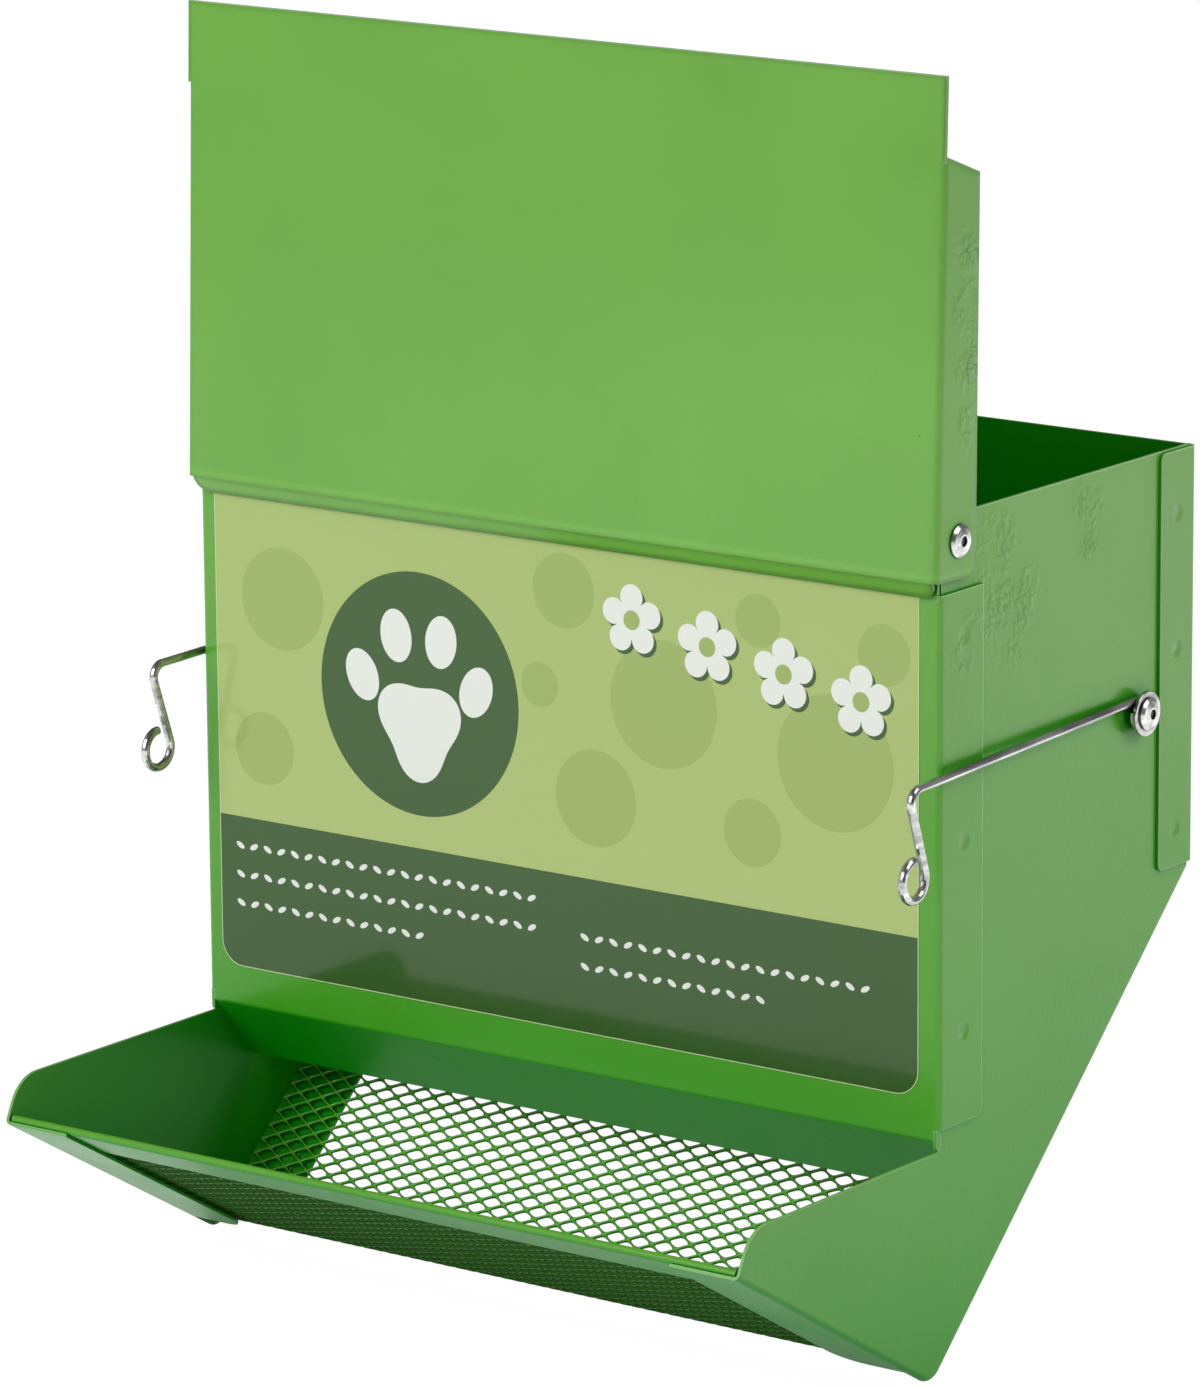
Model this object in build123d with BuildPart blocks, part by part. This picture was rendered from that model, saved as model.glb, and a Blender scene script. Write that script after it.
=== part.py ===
from build123d import *
import os
from math import cos, floor, radians, sin, tan

# Sheet metal, every thickness with its powder coat
sheet = 0.8
bend = 1.6  # outside radius of a fold
seam = 0.05  # between two sheets that are welded face to face

# Hopper body, front face at Y 0, origin on that face just under the label
body_width = 240.0
body_depth = 118.9
rim_height = 155.0
rear_slope_start = 41.2  # over the origin
rear_slope = 43.2
front_slope = 30.4
heel_forward = 1.2  # lowest fold, in front of the front face
heel_radius = 6.0
trough_reach = 86.3
trough_drop = 9.8  # trough rim under the origin
nose_back = 5.6
nose_radius = 11.0

# Front panel
front_flange_depth = 19.4
front_flange_drop = 19.8
front_flange_foot = 4.0
front_rim_drop = 1.0
baffle_drop = 6.8
baffle_length = 23.7
baffle_angle = 51.0
panel_corner = 3.0

# Rear panel
rear_flange_depth = 16.9
rear_flange_foot_gap = 0.2
rear_rim_drop = 0.5
rear_tail_length = 76.0
rear_corner = 2.0

# Side panels
slope_flange_width = 21.0
heel_relief = 12.0
flange_corner = 8.0
weld_spot = 6.0
weld_spot_inset = 12.0
rear_weld_spots = (24.0, 56.0)
front_weld_spots = (28.0, 62.0)

# Trough lip
lip_width = 17.0
hem_height = 2.2
hem_return = 5.0

# Sifter mesh
mesh_sheet = 1.1
mesh_bend = 14.0
mesh_pitch_across = 25.8
mesh_pitch_along = 14.6
mesh_bond = 4.5
mesh_strand = 2.3
mesh_bend_rows = 2  # rows of openings from the middle of the bend to the end of its node
mesh_lap = 10.0
mesh_hem_gap = 1.0

# Label
label_sheet = 0.15
label_width = 228.7
label_shift = 0.65
label_foot = 4.0
label_lip_gap = 0.1
label_corner = 7.0

# Lid, open at rest and leaning back
lid_lean = 2.0
lid_side_gap = 0.4
lid_standoff = 10.0
lid_hinge_back = 6.6
lid_hinge_drop = 6.5
lid_length = 117.6
lid_flange_low = 17.6
lid_flange_high = 15.5
lid_flange_foot = 9.9
lid_flange_top_rear = 92.5
lid_flange_top_front = 97.5
lid_flange_corner = 3.0
lid_lip_start = 9.0
lid_lip_foot = 14.2
lid_lip_radius = 4.0
lid_lip_corner = 4.0
lid_stop_gap = 0.4

# Blind rivets
rivet_shank = 4.8
rivet_head = 8.7
rivet_head_rim = 0.5
rivet_head_height = 1.5
rivet_shoulder = 7.0
rivet_shoulder_height = 1.15
rivet_crown = 3.6  # flat ring round the bore, across
rivet_bore = 2.7
rivet_bulb = 6.6
rivet_bulb_length = 3.6
mandrel_gap = 0.05
mandrel_recess = 0.6
mandrel_head = 4.2
mandrel_head_length = 1.8
press_gap = 0.05
running_gap = 0.1

# Wire hooks
wire = 2.4
wire_sides = 12  # flats that stand for the round of the wire
hook_pivot_inset = 27.1  # from the rear face
hook_pivot_drop = 67.2
hook_splay = 1.3
hook_gap = 0.25
hook_forward = 18.6  # bend of the arm, in front of the front face
hook_rise = 1.0
hook_bend = 3.5
hook_leg_angle = 19.0
hook_leg_length = 22.7
hook_loop_radius = 5.1
hook_loop_turn = 289.0
hook_eye_turn = 280.0
washer_width = 12.0
washer_sheet = 1.0
washer_edge = 0.2

# Levels and planes that the pieces share
half_width = body_width / 2
side_outer = half_width - sheet - seam
side_inner = side_outer - sheet
baffle_width = 2 * (side_inner - seam)
slope_width = 2 * (side_outer - bend - seam)  # between the folds of the side panels
side_front = bend
side_rear = body_depth - bend
slope_turn = rear_slope + front_slope
heel_level = rear_slope_start - (body_depth + heel_forward) * tan(radians(rear_slope))
front_run = (trough_reach - heel_forward) / cos(radians(front_slope))
lip_level = sheet + seam
mesh_level = 2 * (sheet + seam)
rear_up = Vector(0, cos(radians(rear_slope)), sin(radians(rear_slope)))
rear_in = Vector(0, -sin(radians(rear_slope)), cos(radians(rear_slope)))
front_up = Vector(0, -cos(radians(front_slope)), sin(radians(front_slope)))
front_in = Vector(0, sin(radians(front_slope)), cos(radians(front_slope)))
heel = Vector(0, -heel_forward, heel_level)
rear_plane = Plane(origin=heel, x_dir=(1, 0, 0), z_dir=rear_in)
front_plane = Plane(origin=heel, x_dir=(-1, 0, 0), z_dir=front_in)
lid_up = Vector(0, sin(radians(lid_lean)), cos(radians(lid_lean)))
lid_back = Vector(0, cos(radians(lid_lean)), -sin(radians(lid_lean)))
lid_hinge = Vector(0, lid_hinge_back, rim_height - lid_hinge_drop)
lid_cross_plane = Plane(origin=lid_hinge, x_dir=(1, 0, 0), z_dir=lid_up)
lid_side_plane = Plane(origin=lid_hinge, x_dir=lid_back, z_dir=(1, 0, 0))
lid_half_width = half_width + lid_side_gap + sheet
hook_pivot = Vector(0, body_depth - hook_pivot_inset, rim_height - hook_pivot_drop)
hook_reach = hook_pivot.Y + hook_forward
hook_eye_radius = (rivet_shank + wire) / 2 + running_gap
hook_eye_middle = side_outer + hook_gap + wire / 2
washer_level = hook_eye_middle + wire / 2 + hook_gap
hook_rivet_level = washer_level + washer_sheet + seam
lid_rivet_level = lid_half_width + seam

os.makedirs("parts", exist_ok=True)


def flat(point):
    """A point of the middle plane as seen from the side."""
    return (point.Y, point.Z)


def on_slope(up, inward, run, level):
    """A side-view point at a run up a slope from the heel, at a level above its outer face."""
    return flat(heel + up * run + inward * level)


def folded_sheet(points, radius, side):
    """Section of a folded sheet whose outer face follows the points."""
    with BuildSketch() as section:
        with BuildLine():
            FilletPolyline(*points, radius=radius)
            offset(amount=sheet, side=side)
        make_face()
    return section.sketch


def finish(name, label):
    """Names a piece and writes its file."""
    name.part.label = label
    export_step(name.part, f"parts/{label}.step")


# Front panel: plate with side flanges, and the baffle folded back under the feed throat
front_channel = folded_sheet(
    [
        (-half_width, front_flange_depth),
        (-half_width, 0),
        (half_width, 0),
        (half_width, front_flange_depth),
    ],
    bend,
    Side.LEFT,
)
baffle_section = folded_sheet(
    [
        (0, 0),
        (0, -baffle_drop),
        (
            baffle_length * cos(radians(baffle_angle)),
            -baffle_drop - baffle_length * sin(radians(baffle_angle)),
        ),
    ],
    bend,
    Side.LEFT,
)
front_flange_top = rim_height - front_flange_drop
with BuildPart() as front_panel:
    with BuildSketch(Plane.XY.offset(-front_flange_foot)):
        add(front_channel)
    extrude(amount=front_flange_top + front_flange_foot)
    fillet(
        front_panel.edges().filter_by(Axis.X).group_by(Axis.Y)[-1].group_by(Axis.Z)[0],
        panel_corner,
    )
    with BuildSketch(Plane.XY.offset(front_flange_top - bend)):
        with Locations((0, sheet / 2)):
            Rectangle(2 * side_outer, sheet)
    extrude(amount=front_flange_drop + bend - front_rim_drop)
    with BuildSketch(Plane.YZ):
        add(baffle_section)
    extrude(amount=baffle_width / 2, both=True)
finish(front_panel, "front_panel")

# Rear panel: plate with side flanges, and the tail folded down the slope above the mesh
rear_fold = rear_slope_start + lip_level / cos(radians(rear_slope))
rear_flange_foot = rear_fold + rear_flange_foot_gap
rear_channel = folded_sheet(
    [
        (-half_width, body_depth - rear_flange_depth),
        (-half_width, body_depth),
        (half_width, body_depth),
        (half_width, body_depth - rear_flange_depth),
    ],
    bend,
    Side.RIGHT,
)
tail_section = folded_sheet(
    [
        (body_depth, rear_flange_foot + bend),
        (body_depth, rear_fold),
        (
            body_depth - rear_tail_length * cos(radians(rear_slope)),
            rear_fold - rear_tail_length * sin(radians(rear_slope)),
        ),
    ],
    bend,
    Side.RIGHT,
)
with BuildPart() as rear_panel:
    with BuildSketch(Plane.XY.offset(rear_flange_foot)):
        add(rear_channel)
    extrude(amount=rim_height - rear_rim_drop - rear_flange_foot)
    flange_ends = rear_panel.edges().filter_by(Axis.X).group_by(Axis.Y)[0]
    fillet(flange_ends, rear_corner)
    with BuildSketch(Plane.YZ):
        add(tail_section)
    extrude(amount=slope_width / 2, both=True)
finish(rear_panel, "rear_panel")

# Side panels: one blank with both slope flanges folded inwards, cut back round the heel
nose = (nose_back - trough_reach, -trough_drop)
throat = (side_front, -trough_drop)
with BuildPart() as right_side_panel:
    with BuildSketch(Plane.YZ.offset(side_outer - slope_flange_width)) as side_blank:
        with BuildLine():
            Polyline(
                (side_front, rim_height),
                (side_rear, rim_height),
                (side_rear, rear_slope_start - (body_depth - side_rear) * tan(radians(rear_slope))),
                flat(heel),
                on_slope(front_up, front_in, front_run, 0),
                nose,
                throat,
                close=True,
            )
        make_face()
        fillet(side_blank.vertices().sort_by_distance(flat(heel))[0], heel_radius)
        fillet(side_blank.vertices().sort_by_distance(nose)[0], nose_radius)
        fillet(side_blank.vertices().sort_by_distance(throat)[0], bend)
    extrude(amount=slope_flange_width)
    wall = right_side_panel.faces().sort_by(Axis.X)[-1]
    underside = right_side_panel.faces().filter_by(lambda face: face.normal_at().Z < -0.1)
    fillet(wall.edges() & underside.edges(), bend)
    open_faces = right_side_panel.faces().filter_by(
        lambda face: face.normal_at().Z > -0.1 and face.normal_at().X < 0.5
    )
    offset(amount=-sheet, openings=open_faces)
    with BuildSketch(Plane.YZ.offset(side_outer - bend)):
        with BuildLine():
            Polyline(
                on_slope(rear_up, rear_in, heel_relief, -bend),
                on_slope(rear_up, rear_in, heel_relief, bend),
                on_slope(front_up, front_in, heel_relief, bend),
                on_slope(front_up, front_in, heel_relief, -bend),
                flat(heel - Vector(0, 0, 2 * bend)),
                close=True,
            )
        make_face()
    extrude(amount=-slope_flange_width, mode=Mode.SUBTRACT)
    short_edges = right_side_panel.edges().filter_by(lambda edge: edge.length < bend)
    fillet(short_edges.group_by(Axis.X)[0].sort_by_distance(heel)[:2], flange_corner)
    with BuildSketch(Plane.YZ.offset(side_inner - sheet)):
        with Locations(flat(lid_hinge), flat(hook_pivot)):
            Circle(rivet_shank / 2 + press_gap)
    extrude(amount=3 * sheet, mode=Mode.SUBTRACT)
    spot_x = side_inner - weld_spot_inset
    with BuildSketch(rear_plane.offset(sheet)):
        with Locations(*[(spot_x, run) for run in rear_weld_spots]):
            Rectangle(weld_spot, weld_spot)
    extrude(amount=mesh_level - seam - sheet)
    with BuildSketch(front_plane.offset(sheet)):
        with Locations(*[(-spot_x, run) for run in front_weld_spots]):
            Rectangle(weld_spot, weld_spot)
    extrude(amount=mesh_level - seam - sheet)
with BuildPart() as left_side_panel:
    mirror(right_side_panel.part, about=Plane.YZ)
finish(right_side_panel, "right_side_panel")
finish(left_side_panel, "left_side_panel")

# Trough lip: strip between the cheeks, its top edge folded back into an open hem
with BuildPart() as trough_lip:
    with BuildSketch(Plane.YZ):
        with BuildLine():
            lip_face = Line(
                on_slope(front_up, front_in, front_run - lip_width, lip_level),
                on_slope(front_up, front_in, front_run - hem_height / 2, lip_level),
            )
            hem_fold = JernArc(lip_face @ 1, lip_face % 1, hem_height / 2, -180)
            Line(hem_fold @ 1, hem_fold @ 1 + hem_fold % 1 * hem_return)
            offset(amount=sheet, side=Side.RIGHT)
        make_face()
    extrude(amount=slope_width / 2, both=True)
finish(trough_lip, "trough_lip")

# Sifter mesh: one sheet bent round the heel, with staggered diamond openings, in three lengths
half_turn = radians(slope_turn / 2)
mesh_middle_radius = mesh_bend - mesh_sheet / 2
bend_reach = mesh_middle_radius * half_turn
flat_start = (mesh_level + mesh_bend) * tan(half_turn)
tail_end = (body_depth + heel_forward) / cos(radians(rear_slope)) - rear_tail_length
mesh_rear_run = tail_end + mesh_lap
mesh_front_run = front_run - hem_height / 2 - hem_return - mesh_hem_gap
mesh_corner_run = mesh_level * tan(half_turn)
bend_middle = Vector(
    0,
    *on_slope(rear_up, rear_in, flat_start, mesh_level + mesh_bend),
)


def mesh_plane(travel):
    """Plane in the mesh at a distance from the middle of its bend, positive up the rear slope."""
    if abs(travel) <= bend_reach:
        lean = travel / mesh_middle_radius + radians(rear_slope - front_slope) / 2
        outward = Vector(0, sin(lean), -cos(lean))
        return Plane(origin=bend_middle + outward * mesh_middle_radius, x_dir=(1, 0, 0), z_dir=-outward)
    up, inward = (rear_up, rear_in) if travel > 0 else (front_up, front_in)
    point = heel + up * (flat_start + abs(travel) - bend_reach) + inward * (mesh_level + mesh_sheet / 2)
    return Plane(origin=point, x_dir=(1, 0, 0), z_dir=inward)


row_pitch = mesh_pitch_along / 2
opening_width = mesh_pitch_across - mesh_bond
opening_height = mesh_pitch_along - 2 * mesh_strand
end_margin = (opening_height + mesh_strand) / 2
rear_rows = floor((mesh_rear_run - flat_start + bend_reach - end_margin) / row_pitch)
front_rows = floor((mesh_front_run - flat_start + bend_reach - end_margin) / row_pitch)
columns = floor((slope_width - mesh_strand) / mesh_pitch_across)
with BuildPart() as mesh_blank:
    with BuildSketch(Plane.YZ):
        with BuildLine():
            FilletPolyline(
                on_slope(rear_up, rear_in, mesh_rear_run, mesh_level),
                on_slope(rear_up, rear_in, mesh_corner_run, mesh_level),
                on_slope(front_up, front_in, mesh_front_run, mesh_level),
                radius=mesh_bend,
            )
            offset(amount=mesh_sheet, side=Side.RIGHT)
        make_face()
    extrude(amount=slope_width / 2, both=True)
    for parity in (0, 1):
        rows = [row for row in range(-front_rows, rear_rows + 1) if row % 2 == parity]
        with BuildSketch(*[mesh_plane(row * row_pitch) for row in rows]):
            with GridLocations(mesh_pitch_across, mesh_pitch_along, columns - parity, 1):
                Polygon(
                    (opening_width / 2, 0),
                    (0, opening_height / 2),
                    (-opening_width / 2, 0),
                    (0, -opening_height / 2),
                )
        extrude(amount=mesh_sheet, both=True, mode=Mode.SUBTRACT)
rear_cut = Plane(origin=mesh_plane(mesh_bend_rows * row_pitch).origin, z_dir=rear_up)
front_cut = Plane(origin=mesh_plane(-mesh_bend_rows * row_pitch).origin, z_dir=front_up)
with BuildPart() as sifter_mesh_rear:
    add(mesh_blank.part)
    split(bisect_by=rear_cut, keep=Keep.TOP)
with BuildPart() as sifter_mesh_front:
    add(mesh_blank.part)
    split(bisect_by=front_cut, keep=Keep.TOP)
with BuildPart() as sifter_mesh_bend:
    add(mesh_blank.part)
    split(bisect_by=rear_cut, keep=Keep.BOTTOM)
    split(bisect_by=front_cut, keep=Keep.BOTTOM)
finish(sifter_mesh_rear, "sifter_mesh_rear")
finish(sifter_mesh_front, "sifter_mesh_front")
finish(sifter_mesh_bend, "sifter_mesh_bend")

# Lid: channel with tapered side flanges, a flat grip tab and a curled stop lip
lid_channel = folded_sheet(
    [
        (-lid_half_width, lid_flange_low - lid_standoff),
        (-lid_half_width, -lid_standoff),
        (lid_half_width, -lid_standoff),
        (lid_half_width, lid_flange_low - lid_standoff),
    ],
    bend,
    Side.LEFT,
)
lip_rest = Vector(0, -lid_stop_gap, lid_hinge.Z - lid_lip_foot) - lid_hinge
lip_back = lip_rest.dot(lid_back) - sheet
plate_section = folded_sheet(
    [
        (-lid_standoff, lid_length),
        (-lid_standoff, -lid_lip_start),
        (lip_back, -lid_lip_foot),
    ],
    lid_lip_radius,
    Side.LEFT,
)
with BuildPart() as lid:
    with BuildSketch(lid_cross_plane.offset(-lid_flange_foot)):
        add(lid_channel)
    extrude(amount=lid_flange_foot + lid_flange_top_front)
    with BuildSketch(lid_side_plane) as flange_shape:
        rear_low = (lid_flange_low - lid_standoff, -lid_flange_foot)
        with BuildLine():
            Polyline(
                (-lid_standoff, -lid_flange_foot),
                rear_low,
                (lid_flange_high - lid_standoff, lid_flange_top_rear),
                (sheet - lid_standoff, lid_flange_top_front),
                (-lid_standoff, lid_flange_top_front),
                close=True,
            )
        make_face()
        fillet(flange_shape.vertices().sort_by_distance(rear_low)[0], lid_flange_corner)
    extrude(amount=body_width, both=True, mode=Mode.INTERSECT)
    with BuildSketch(lid_side_plane):
        add(plate_section)
    extrude(amount=lid_half_width - bend, both=True)
    with BuildSketch(lid_cross_plane.offset(lid_flange_top_front - bend)):
        with Locations((0, sheet / 2 - lid_standoff)):
            Rectangle(2 * lid_half_width, sheet)
    extrude(amount=lid_length - lid_flange_top_front + bend)
    lip_corners = lid.edges().filter_by(lambda edge: edge.length < 2 * sheet).group_by(Axis.Z)[0]
    fillet(lip_corners, lid_lip_corner)
    with BuildSketch(lid_side_plane):
        Circle(rivet_shank / 2 + running_gap)
    extrude(amount=body_width, both=True, mode=Mode.SUBTRACT)
finish(lid, "lid")

# Label: sticker on the front panel, from just over its foot to just under the lid's lip
label_top = lid.vertices().sort_by(Axis.Z)[0].Z - label_lip_gap
with BuildPart() as label:
    with BuildSketch(Plane.XZ) as label_shape:
        with Locations((-label_shift, (label_top + label_foot) / 2)):
            Rectangle(label_width, label_top - label_foot)
        fillet(label_shape.vertices().group_by(Axis.Y)[0], label_corner)
    extrude(amount=label_sheet)
finish(label, "label")


def blind_rivet(level, pivot, grip):
    """Set blind rivet with the underside of its head at a level, and the broken mandrel in its bore."""
    seat = Plane(origin=(level, pivot.Y, pivot.Z), x_dir=(0, 1, 0), z_dir=(0, 0, -1))
    shaft = Axis(seat.origin, seat.y_dir)
    tail = -grip - rivet_bulb_length
    stub_top = rivet_head_height - mandrel_recess
    stub_foot = tail - mandrel_gap
    with BuildPart() as body:
        with BuildSketch(seat):
            with BuildLine():
                Polyline(
                    (rivet_crown / 2, rivet_head_height),
                    (rivet_bore / 2, rivet_head_height),
                    (rivet_bore / 2, tail),
                    (rivet_bulb / 2, tail),
                    (rivet_bulb / 2, -grip - seam),
                    (rivet_shank / 2, -grip - seam),
                    (rivet_shank / 2, 0),
                    (rivet_head / 2, 0),
                    (rivet_head / 2, rivet_head_rim),
                    (rivet_shoulder / 2, rivet_shoulder_height),
                    close=True,
                )
            make_face()
        revolve(axis=shaft)
    with BuildPart() as mandrel:
        with BuildSketch(seat):
            with BuildLine():
                Polyline(
                    (0, stub_foot - mandrel_head_length),
                    (0, stub_top),
                    (rivet_bore / 2 - mandrel_gap, stub_top),
                    (rivet_bore / 2 - mandrel_gap, stub_foot),
                    (mandrel_head / 2, stub_foot),
                    (mandrel_head / 2, stub_foot - mandrel_head_length),
                    close=True,
                )
            make_face()
        revolve(axis=shaft)
    return body.part, mandrel.part


# Rivets: two hold the lid, two hold the hooks
for piece, level, pivot in (
    ("lid_rivet", lid_rivet_level, lid_hinge),
    ("hook_rivet", hook_rivet_level, hook_pivot),
):
    rivet_body, rivet_mandrel = blind_rivet(level, pivot, level - side_inner)
    for stem, solid in ((piece, rivet_body), (f"{piece}_mandrel", rivet_mandrel)):
        with BuildPart() as right_piece:
            add(solid)
        with BuildPart() as left_piece:
            mirror(solid, about=Plane.YZ)
        finish(right_piece, f"{stem}_right")
        finish(left_piece, f"{stem}_left")

# Hooks: one wire each, from the eye on the rivet to the loop at the free end
splay = radians(hook_splay)
hook_plane = Plane(
    origin=(hook_eye_middle, hook_pivot.Y, hook_pivot.Z),
    x_dir=(sin(splay), -cos(splay), 0),
    z_dir=(-cos(splay), -sin(splay), 0),
)
leg_end = (
    hook_reach - hook_leg_length * sin(radians(hook_leg_angle)),
    hook_rise - hook_leg_length * cos(radians(hook_leg_angle)),
)
with BuildPart() as hook_right:
    with BuildLine(hook_plane) as hook_line:
        arm = FilletPolyline((0, hook_eye_radius), (hook_reach, hook_rise), leg_end, radius=hook_bend)
        JernArc(arm @ 0, arm % 0 * -1, hook_eye_radius, hook_eye_turn)
        JernArc(arm @ 1, arm % 1, hook_loop_radius, hook_loop_turn)
    hook_path = hook_line.wire()
    with BuildSketch(Plane(origin=hook_path @ 0, z_dir=hook_path % 0)):
        RegularPolygon(wire / 2, wire_sides)
    sweep(path=hook_path)
with BuildPart() as hook_left:
    mirror(hook_right.part, about=Plane.YZ)
finish(hook_right, "hook_right")
finish(hook_left, "hook_left")

# Hook washers: between the wire eye and the rivet head
with BuildPart() as hook_washer_right:
    with BuildSketch(Plane.YZ.offset(washer_level)):
        with Locations(flat(hook_pivot)):
            Circle(washer_width / 2)
            Circle(rivet_shank / 2 + running_gap, mode=Mode.SUBTRACT)
    extrude(amount=washer_sheet)
    rims = hook_washer_right.edges().filter_by(GeomType.CIRCLE).sort_by(SortBy.RADIUS)[-2:]
    chamfer(rims.sort_by(Axis.X)[-1], washer_edge)
with BuildPart() as hook_washer_left:
    mirror(hook_washer_right.part, about=Plane.YZ)
finish(hook_washer_right, "hook_washer_right")
finish(hook_washer_left, "hook_washer_left")
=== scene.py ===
from math import cos, pi, radians, sin, tan

import bmesh
import bpy
import numpy as np
from mathutils import Matrix, Vector


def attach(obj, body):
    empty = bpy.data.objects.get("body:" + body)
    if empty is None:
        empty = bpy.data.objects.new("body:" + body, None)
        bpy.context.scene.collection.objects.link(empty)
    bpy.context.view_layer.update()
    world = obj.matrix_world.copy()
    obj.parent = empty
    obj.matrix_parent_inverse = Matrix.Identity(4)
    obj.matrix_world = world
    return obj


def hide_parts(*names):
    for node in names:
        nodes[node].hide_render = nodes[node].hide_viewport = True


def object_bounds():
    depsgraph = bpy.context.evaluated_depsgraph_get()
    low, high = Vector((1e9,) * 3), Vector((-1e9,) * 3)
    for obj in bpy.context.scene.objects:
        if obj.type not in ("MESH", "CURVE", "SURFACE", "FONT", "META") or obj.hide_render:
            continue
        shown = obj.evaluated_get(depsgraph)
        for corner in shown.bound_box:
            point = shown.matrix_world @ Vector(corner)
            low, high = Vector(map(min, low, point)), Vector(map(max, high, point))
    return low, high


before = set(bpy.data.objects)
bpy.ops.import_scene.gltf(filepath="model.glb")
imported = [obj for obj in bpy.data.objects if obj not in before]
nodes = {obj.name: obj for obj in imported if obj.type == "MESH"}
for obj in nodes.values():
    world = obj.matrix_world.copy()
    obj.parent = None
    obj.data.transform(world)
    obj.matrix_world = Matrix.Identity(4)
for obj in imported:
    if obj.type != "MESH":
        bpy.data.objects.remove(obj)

cad_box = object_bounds()
MM = 0.001

# Shaders
NOISE_LOW = 0.3  # range in which noise mostly stays
NOISE_HIGH = 0.7
OPEN_SHARE_SAMPLES = 8

# Camera, solved on the straight edges of the body
PHOTO_WIDTH = 1200
FOCAL_PIXELS = 7694
SENSOR_WIDTH = 36
EYE = Vector((1.17728, -1.55419, 0.54962))
YAW = radians(36.826)
PITCH = radians(13.149)
ROLL = radians(-0.442)

# Body, in millimetres
FLANGE_OUTER = 120.0
SIDE_OUTER = 119.15
LID_OUTER = 121.2
LID_FOLD = 141.0
HEEL = (-1.2, -71.6)  # back and up
REAR_SLOPE = radians(43.2)
FRONT_SLOPE = radians(30.4)

# Sifter mesh, in millimetres
MESH_LEVEL = 1.7
MESH_SHEET = 1.1
MESH_BEND = 14.0
MESH_HALF_WIDTH = 117.4
MESH_REAR_RUN = 98.7
MESH_FRONT_RUN = 91.5
DIAMOND_LENGTH = 7.8
DIAMOND_HEIGHT = 4.6
OPENING_LENGTH = 5.6
OPENING_HEIGHT = 3.2
OPENING_POWER = 1.35
STRAND_HALF_THICKNESS = 0.36
STRAND_TILT = 0.3
EDGE_STEPS = 4  # points on each side of a diamond
MESH_TURN = (REAR_SLOPE + FRONT_SLOPE) / 2
MIDDLE_RADIUS = MESH_BEND - MESH_SHEET / 2
BEND_REACH = MIDDLE_RADIUS * MESH_TURN  # travel along the sheet from the bend's middle to its ends
FLAT_START = (MESH_LEVEL + MESH_BEND) * tan(MESH_TURN)  # from the heel to the bend's ends

# Label, in millimetres
LABEL_LEFT = -115.0
LABEL_RIGHT = 113.7
LABEL_FOOT = 4.0
LABEL_TOP = 134.4
LABEL_FRONT = -0.15
LABEL_CORNER = 7.0
LABEL_MARGIN = 0.25
BAND_TOP = 46.0
INK = 0.02


def srgb(red, green, blue):
    """A colour written as in a picture, as the linear values that shaders take."""
    values = [c / 255 for c in (red, green, blue)]
    linear = [c / 12.92 if c <= 0.04045 else ((c + 0.055) / 1.055) ** 2.4 for c in values]
    return (*linear, 1)


def make(tree, kind, inputs=None, **settings):
    """A shader node with its settings, and its inputs set or linked."""
    node = tree.nodes.new("ShaderNode" + kind)
    for name, value in settings.items():
        setattr(node, name, value)
    for key, value in (inputs or {}).items():
        if isinstance(value, bpy.types.NodeSocket):
            tree.links.new(value, node.inputs[key])
        else:
            node.inputs[key].default_value = value
    return node


def math_node(tree, operation, *values):
    """The result of a math node."""
    inputs = dict(enumerate(values))
    return make(tree, "Math", inputs, operation=operation).outputs[0]


def new_material(name):
    """A material with an empty tree, its output and its object coordinates."""
    material = bpy.data.materials.new(name)
    material.use_nodes = True
    tree = material.node_tree
    tree.nodes.clear()
    place = make(tree, "TexCoord").outputs["Object"]
    return material, tree, place


def end_material(material, shader):
    """The material with its shader linked to the output."""
    tree = material.node_tree
    make(tree, "OutputMaterial", {"Surface": shader.outputs[0]})
    return material


def noise(tree, place, scale, detail=2.0, roughness=0.5):
    """Smooth noise from 0 to 1."""
    inputs = {"Vector": place, "Scale": scale, "Detail": detail, "Roughness": roughness}
    return make(tree, "TexNoise", inputs).outputs["Fac"]


def spread(tree, value, low, high, to_low=0.0, to_high=1.0):
    """A value mapped from one range to another and held inside it."""
    inputs = {"Value": value, "From Min": low, "From Max": high, "To Min": to_low, "To Max": to_high}
    return make(tree, "MapRange", inputs).outputs["Result"]


def varied(tree, place, scale, detail, low, high):
    """A value that wanders between two others over the surface."""
    return spread(tree, noise(tree, place, scale, detail), NOISE_LOW, NOISE_HIGH, low, high)


def bump(tree, height, distance, strength=1.0, normal=None):
    """A normal with a height on top of it."""
    inputs = {"Height": height, "Distance": distance, "Strength": strength}
    if normal is not None:
        inputs["Normal"] = normal
    return make(tree, "Bump", inputs).outputs["Normal"]


def grain(tree, place, kind, normal=None):
    """A normal with noise on top of it, of a kind that is listed under Grains."""
    scale, detail, roughness, height, strength = kind
    return bump(tree, noise(tree, place, scale, detail, roughness), height, strength, normal)


def nearness(tree, place, centre, radius):
    """1 at a point of the body, falling to 0 at a radius from it, both in millimetres."""
    point = tuple(c * MM for c in centre)
    apart = make(tree, "VectorMath", {0: place, 1: point}, operation="DISTANCE").outputs["Value"]
    return spread(tree, apart, 0.0, radius * MM, 1.0, 0.0)


def mix_colour(tree, share, first, second):
    """A colour between two, by the colour sockets of the mix node."""
    return make(tree, "Mix", {0: share, 6: first, 7: second}, data_type="RGBA").outputs[2]


def scaled_colour(tree, colour, factor):
    """A colour or a colour's socket times a factor."""
    return make(tree, "VectorMath", {0: colour, "Scale": factor}, operation="SCALE").outputs[0]


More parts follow.
